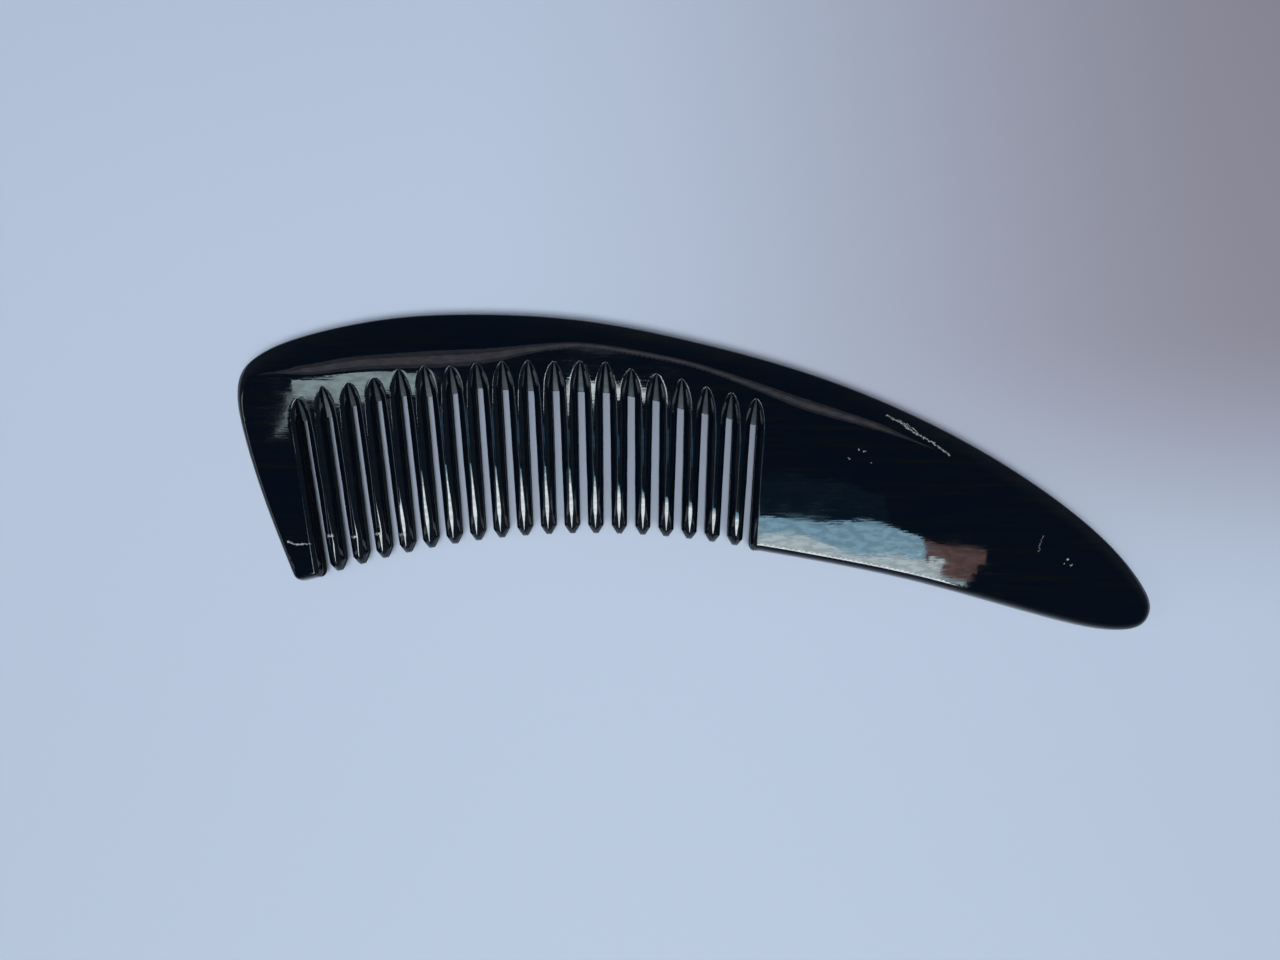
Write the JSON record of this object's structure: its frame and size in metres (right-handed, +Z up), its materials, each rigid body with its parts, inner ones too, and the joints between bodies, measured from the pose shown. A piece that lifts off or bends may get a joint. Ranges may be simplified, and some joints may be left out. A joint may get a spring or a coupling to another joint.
{
  "type": "wide tooth comb",
  "caption": "Curved one-piece horn comb with a broad end guard, a fanned row of wide-set bevelled teeth and a solid tapering handle.",
  "frame": {"origin": "centre of the comb's outline, on the surface it lies on (bottom centre of its box)", "axes": "+X along the comb from the end guard to the handle tip, +Y from the tooth tips to the spine, +Z up out of the face"},
  "size_m": [0.1933, 0.0672, 0.0064],
  "materials": {
    "polished_horn": "gloss"
  },
  "bodies": {
    "root": {"spine": "polished_horn", "handle": "polished_horn", "end_guard": "polished_horn", "tooth_01": "polished_horn", "tooth_02": "polished_horn", "tooth_03": "polished_horn", "tooth_04": "polished_horn", "tooth_05": "polished_horn", "tooth_06": "polished_horn", "tooth_07": "polished_horn", "tooth_08": "polished_horn", "tooth_09": "polished_horn", "tooth_10": "polished_horn", "tooth_11": "polished_horn", "tooth_12": "polished_horn", "tooth_13": "polished_horn", "tooth_14": "polished_horn", "tooth_15": "polished_horn", "tooth_16": "polished_horn", "tooth_17": "polished_horn", "tooth_18": "polished_horn"}
  },
  "joints": []
}
